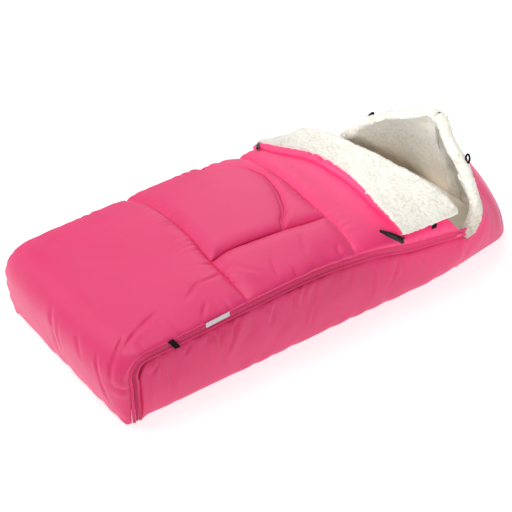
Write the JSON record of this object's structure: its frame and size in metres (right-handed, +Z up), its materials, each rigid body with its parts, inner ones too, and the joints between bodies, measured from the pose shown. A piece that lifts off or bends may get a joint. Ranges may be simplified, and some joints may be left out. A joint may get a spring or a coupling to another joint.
{
  "type": "baby carrier footmuff",
  "caption": "Padded footmuff for a pram or carrier: fleece-lined bag with zipped sides, a cover with a pocket and folded-back fleece collar, and a raised hood.",
  "frame": {"origin": "on the surface that the bag lies on, under the middle of its bounding box", "axes": "+X toward the head end, +Y toward the side turned away in the picture, +Z up"},
  "size_m": [1.0042, 0.4616, 0.2465],
  "materials": {
    "pink_nylon": "smooth satin woven nylon",
    "pink_zip_tape": "woven tape",
    "pink_zip_teeth": "moulded coil and slider",
    "cream_fleece": "curly pile",
    "black_webbing": "woven webbing and cord",
    "black_horn_plastic": "polished",
    "label_cloth": "satin ribbon, bare",
    "zinc_plated": "bright plated"
  },
  "bodies": {
    "root": {"back_fleece_foot": "cream_fleece", "back_fleece_head": "cream_fleece", "back_fleece_middle": "cream_fleece", "back_panel_foot": "pink_nylon", "back_panel_head": "pink_nylon", "back_panel_middle": "pink_nylon", "side_wall_far": "pink_nylon", "side_wall_lining_far": "cream_fleece", "side_wall_lining_near": "cream_fleece", "side_wall_near": "pink_nylon", "zip_strap_far": "black_webbing", "zip_strap_near": "black_webbing", "zip_tape_lower_far": "pink_zip_tape", "zip_tape_lower_near": "pink_zip_tape", "zip_teeth_lower_far": "pink_zip_teeth", "zip_teeth_lower_near": "pink_zip_teeth"},
    "foot_flap": {"foot_wall": "pink_nylon", "foot_wall_lining": "cream_fleece", "zip_tape_foot_far": "pink_zip_tape", "zip_tape_foot_near": "pink_zip_tape", "zip_teeth_foot_far": "pink_zip_teeth", "zip_teeth_foot_near": "pink_zip_teeth"},
    "cover": {"collar_fold_roll": "cream_fleece", "cover_foot_panel": "pink_nylon", "cover_lining": "cream_fleece", "cover_middle_near_panel": "pink_nylon", "cover_pocket_back": "pink_nylon", "cover_pocket_front": "pink_nylon", "cover_top_panel": "pink_nylon", "side_label": "label_cloth", "zip_tape_upper_far": "pink_zip_tape", "zip_tape_upper_near": "pink_zip_tape", "zip_teeth_upper_far": "pink_zip_teeth", "zip_teeth_upper_near": "pink_zip_teeth"},
    "collar": {"collar_edge_tab": "black_webbing", "collar_fleece": "cream_fleece", "collar_hem": "pink_nylon", "collar_shell": "pink_nylon", "toggle_tab_far": "black_webbing", "toggle_tab_near": "black_webbing"},
    "toggle_near": {"toggle_near": "black_horn_plastic"},
    "toggle_far": {"toggle_far": "black_horn_plastic"},
    "hood": {"cord_loop_far": "black_webbing", "cord_loop_near": "black_webbing", "drawcord": "black_webbing", "hood_channel_far": "pink_nylon", "hood_channel_near": "pink_nylon", "hood_fleece_far": "cream_fleece", "hood_fleece_near": "cream_fleece", "hood_shell_far": "pink_nylon", "hood_shell_near": "pink_nylon", "hood_zip_far": "pink_zip_teeth", "hood_zip_near": "pink_zip_teeth"},
    "hood_slider": {"hood_slider": "pink_zip_teeth"},
    "hood_ring": {"hood_ring_pull": "zinc_plated"},
    "slider_near": {"slider_near": "pink_zip_teeth"},
    "slider_far": {"slider_far": "pink_zip_teeth"},
    "pull_near": {"pull_near": "pink_zip_teeth"},
    "pull_far": {"pull_far": "pink_zip_teeth"}
  },
  "joints": [
    {"name": "foot_flap_hinge", "type": "hinge", "parent": "root", "child": "foot_flap", "pos_m": [-0.4863, 0, 0], "axis": [0, -1, 0], "range_deg": [0, 80]},
    {"name": "cover_hinge", "type": "hinge", "parent": "foot_flap", "child": "cover", "pos_m": [-0.48596, 0, 0.14296], "axis": [0, -1, 0], "range_deg": [0, 90]},
    {"name": "collar_fold", "type": "hinge", "parent": "cover", "child": "collar", "pos_m": [0.242, 0, 0.19551], "axis": [0, 1, 0], "range_deg": [0, 100]},
    {"name": "hood_fold", "type": "hinge", "parent": "root", "child": "hood", "pos_m": [0.5, 0, 0], "axis": [0, 1, 0], "range_deg": [0, 70]},
    {"name": "hood_zip_slide", "type": "slide", "parent": "hood", "child": "hood_slider", "axis": [0.3143, 0, -0.9493], "range_m": [0, 0.15]},
    {"name": "hood_ring_swing", "type": "hinge", "parent": "hood_slider", "child": "hood_ring", "pos_m": [0.42391, 0, 0.22328], "axis": [0, 1, 0], "range_deg": [0, 165]},
    {"name": "toggle_swing_near", "type": "hinge", "parent": "collar", "child": "toggle_near", "pos_m": [0.1231, -0.21586, 0.15598], "axis": [0, 1, 0], "range_deg": [0, 60]},
    {"name": "zip_slide_near", "type": "slide", "parent": "root", "child": "slider_near", "axis": [-0.9879, 0, 0.1552], "range_m": [0, 0.11]},
    {"name": "pull_swing_near", "type": "hinge", "parent": "slider_near", "child": "pull_near", "pos_m": [0.304, -0.2085, 0.09557], "axis": [0.1552, 0, 0.9879], "range_deg": [0, 110]},
    {"name": "toggle_swing_far", "type": "hinge", "parent": "collar", "child": "toggle_far", "pos_m": [0.1231, 0.21586, 0.15598], "axis": [0, 1, 0], "range_deg": [0, 60]},
    {"name": "zip_slide_far", "type": "slide", "parent": "root", "child": "slider_far", "axis": [-0.9879, 0, 0.1552], "range_m": [0, 0.11]},
    {"name": "pull_swing_far", "type": "hinge", "parent": "slider_far", "child": "pull_far", "pos_m": [0.304, 0.2085, 0.09557], "axis": [-0.1552, 0, -0.9879], "range_deg": [0, 110]}
  ]
}
